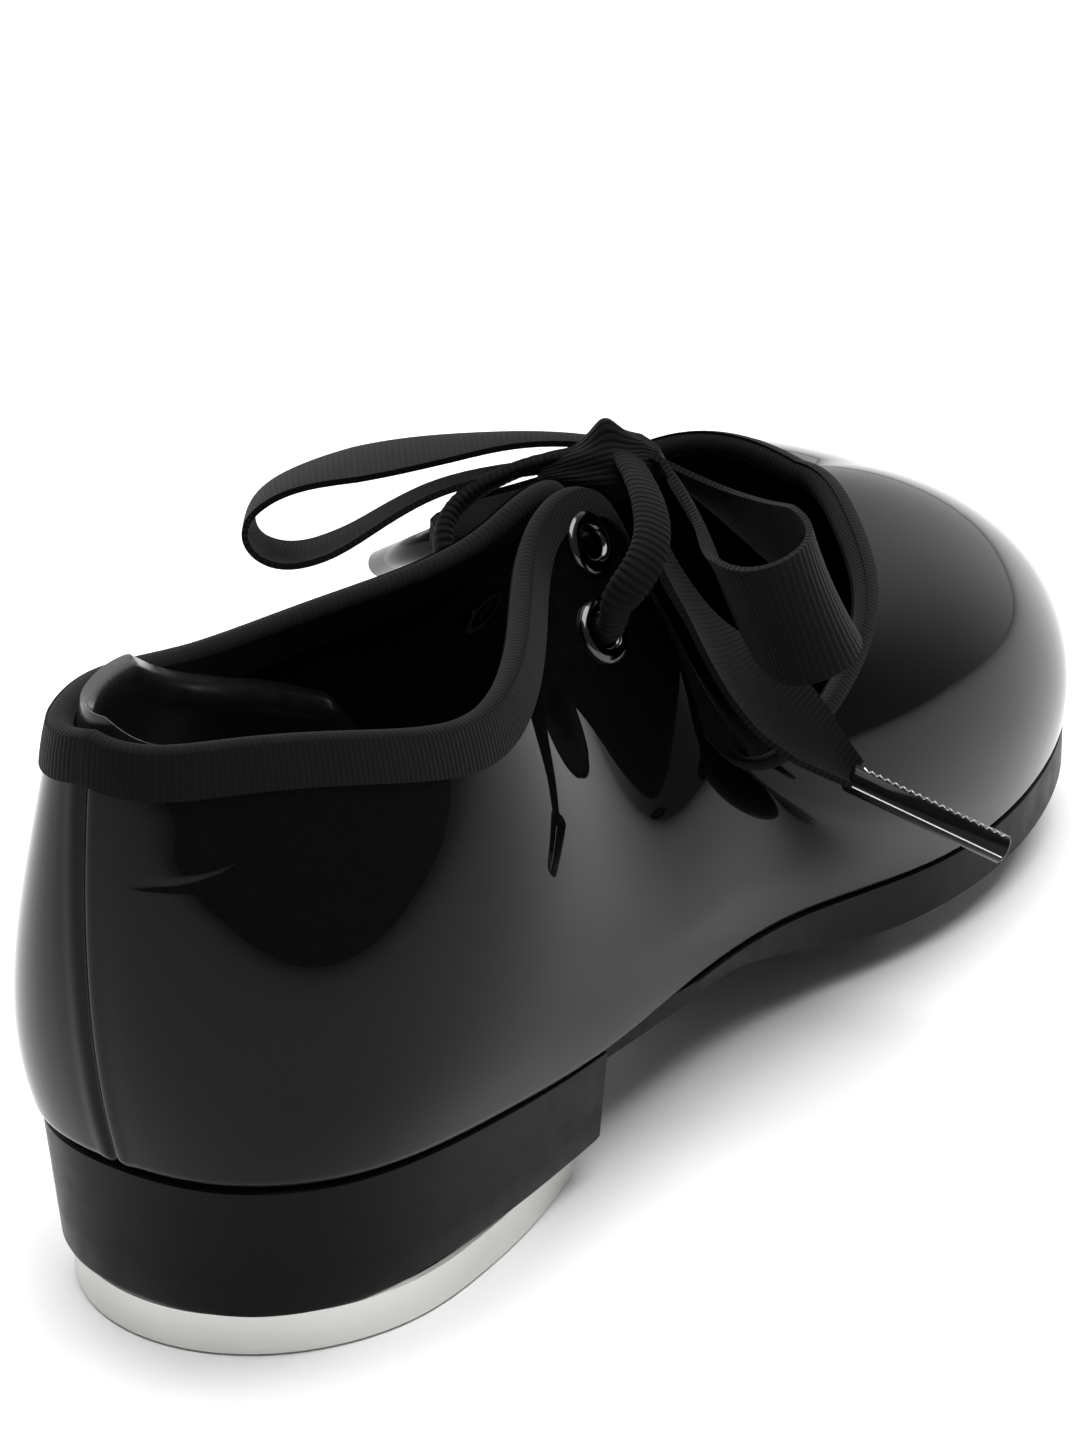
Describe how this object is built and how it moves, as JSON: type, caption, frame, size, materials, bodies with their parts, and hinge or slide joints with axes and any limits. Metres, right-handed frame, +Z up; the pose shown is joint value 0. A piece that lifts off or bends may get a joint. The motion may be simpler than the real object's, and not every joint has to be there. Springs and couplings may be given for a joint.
{
  "type": "tap shoe",
  "caption": "Child's black patent tie tap shoe for the right foot, with a ribbon bow, a low heel and metal taps.",
  "frame": {"origin": "on the floor under the middle of the heel tap", "axes": "+X to the outer side of the shoe, +Y from heel to toe, +Z up"},
  "size_m": [0.101, 0.2096, 0.0814],
  "materials": {
    "patent": "high-gloss black patent",
    "lining": "matte woven black",
    "heel_lining": "glossy black coated lining",
    "grosgrain": "matte ribbed black",
    "sole": "satin black moulded",
    "heel": "satin black moulded",
    "tap": "satin cast aluminium",
    "screw": "zinc-plated steel",
    "nickel": "dark nickel plating",
    "board": "grey-brown fibreboard",
    "stay": "stiffened cloth",
    "spring_steel": "blued spring steel",
    "aglet": "clear crimped sleeve over dark ribbon"
  },
  "bodies": {
    "rearfoot": {"heel_tap": "tap", "heel_tap_screws": "screw", "heel_block": "heel", "heel_nails": "screw", "outsole": "sole", "shank": "spring_steel", "insole_board": "board", "sock_liner": "heel_lining", "heel_counter": "stay", "upper": "patent", "lining": "lining", "heel_grip": "heel_lining", "topline_binding": "grosgrain", "eyelets_right": "nickel", "eyelets_left": "nickel", "eyelet_washers_right": "nickel", "eyelet_washers_left": "nickel", "ribbon_strand_right": "grosgrain", "ribbon_strand_left": "grosgrain", "ribbon_knot": "grosgrain", "bow_loop_left": "grosgrain", "bow_loop_right": "grosgrain", "ribbon_tail_left": "grosgrain", "ribbon_tail_right": "grosgrain", "aglet_left": "aglet", "aglet_right": "aglet"},
    "forefoot": {"forefoot_sole": "sole", "toe_tap": "tap", "toe_tap_board": "board", "toe_tap_screws": "screw", "toe_puff": "stay"}
  },
  "joints": [
    {"name": "sole_flex", "type": "hinge", "parent": "rearfoot", "child": "forefoot", "pos_m": [-0.00286, 0.1, 0.0098], "axis": [1, 0, 0], "range_deg": [0, 25], "stiffness_Nm_per_rad": 2, "deforming": ["upper", "lining", "topline_binding", "insole_board", "sock_liner", "outsole", "forefoot_sole"]}
  ]
}
